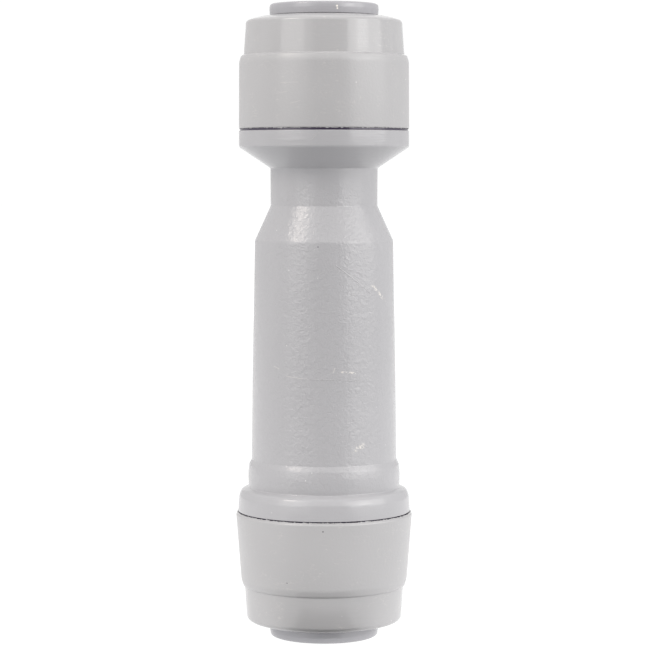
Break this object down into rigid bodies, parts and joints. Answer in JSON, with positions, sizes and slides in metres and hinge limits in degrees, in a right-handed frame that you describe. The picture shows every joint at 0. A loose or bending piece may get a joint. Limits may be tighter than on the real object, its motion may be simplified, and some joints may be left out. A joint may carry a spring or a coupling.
{
  "type": "check valve",
  "caption": "Inline push-fit check valve for 9.5 mm tube: stepped caps and pushed-in collets on a necked, waisted body, with a sprung poppet cartridge inside the barrel.",
  "frame": {"origin": "centre of the outlet collet's flat end face, which the valve stands on", "axes": "+Z along the flow axis from the outlet to the inlet; water flows along -Z; the valve is round, so X and Y are free"},
  "size_m": [0.023, 0.023, 0.082],
  "materials": {
    "body_plastic": "cool grey acetal moulding with a fine grained satin surface",
    "cap_plastic": "warm light grey acetal moulding, satin",
    "collet_plastic": "cool grey acetal moulding, smooth satin",
    "insert_plastic": "natural acetal, satin",
    "poppet_plastic": "white acetal, smooth",
    "seal_rubber": "black nitrile rubber",
    "spring_steel": "bright drawn stainless steel"
  },
  "bodies": {
    "housing": {"valve_body": "body_plastic", "outlet_body": "body_plastic", "inlet_cap": "cap_plastic", "outlet_cap": "cap_plastic", "inlet_seal_retainer": "insert_plastic", "inlet_outer_seal": "seal_rubber", "inlet_seal_spacer": "insert_plastic", "inlet_inner_seal": "seal_rubber", "outlet_seal_retainer": "insert_plastic", "outlet_outer_seal": "seal_rubber", "outlet_seal_spacer": "insert_plastic", "outlet_inner_seal": "seal_rubber", "cartridge_seat": "insert_plastic", "cartridge_seal": "seal_rubber", "cartridge_cage": "insert_plastic", "poppet_spring": "spring_steel"},
    "inlet_gripper": {"inlet_collet": "collet_plastic", "inlet_tooth_1": "spring_steel", "inlet_tooth_2": "spring_steel", "inlet_tooth_3": "spring_steel", "inlet_tooth_4": "spring_steel", "inlet_tooth_5": "spring_steel", "inlet_tooth_6": "spring_steel"},
    "outlet_gripper": {"outlet_collet": "collet_plastic", "outlet_tooth_1": "spring_steel", "outlet_tooth_2": "spring_steel", "outlet_tooth_3": "spring_steel", "outlet_tooth_4": "spring_steel", "outlet_tooth_5": "spring_steel", "outlet_tooth_6": "spring_steel"},
    "poppet_unit": {"poppet": "poppet_plastic", "poppet_seal": "seal_rubber"}
  },
  "joints": [
    {"name": "inlet_collet_slide", "type": "slide", "parent": "housing", "child": "inlet_gripper", "axis": [0, 0, 1], "range_m": [0, 0.0018]},
    {"name": "outlet_collet_slide", "type": "slide", "parent": "housing", "child": "outlet_gripper", "axis": [0, 0, -1], "range_m": [0, 0.0018]},
    {"name": "poppet_slide", "type": "slide", "parent": "housing", "child": "poppet_unit", "axis": [0, 0, -1], "range_m": [0, 0.003], "stiffness_N_per_m": 100, "springref_m": -0.0027, "deforming": ["poppet_spring"]}
  ]
}
